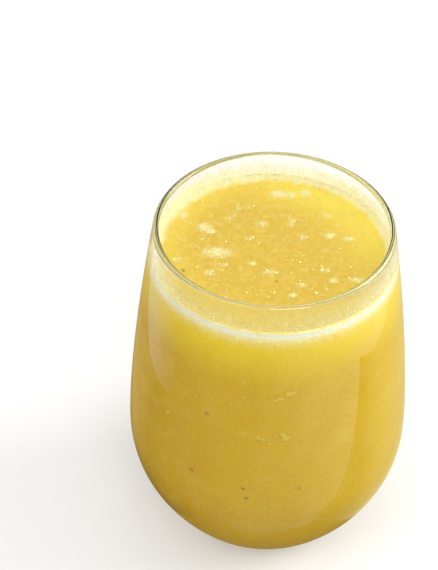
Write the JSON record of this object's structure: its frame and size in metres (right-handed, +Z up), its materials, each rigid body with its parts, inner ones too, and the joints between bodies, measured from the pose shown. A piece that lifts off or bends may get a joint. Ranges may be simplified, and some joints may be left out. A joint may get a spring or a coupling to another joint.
{
  "type": "glass of cloudy apple juice",
  "caption": "Stemless egg-shaped drinking glass, leaning in towards a rounded rim, filled almost to the lip with thick, cloudy yellow juice.",
  "frame": {"origin": "centre of the glass's foot, on the surface it stands on", "axes": "+Z up along the glass's axis of turning; the picture looks along +Y, from above"},
  "size_m": [0.0814, 0.0814, 0.1075],
  "materials": {
    "clear_glass": "clear, smooth, fire-polished rim",
    "cloudy_juice": "opaque pulpy liquid, wet on top, with a thin pale foam edge"
  },
  "bodies": {
    "root": {"glass": "clear_glass", "juice": "cloudy_juice"}
  },
  "joints": []
}
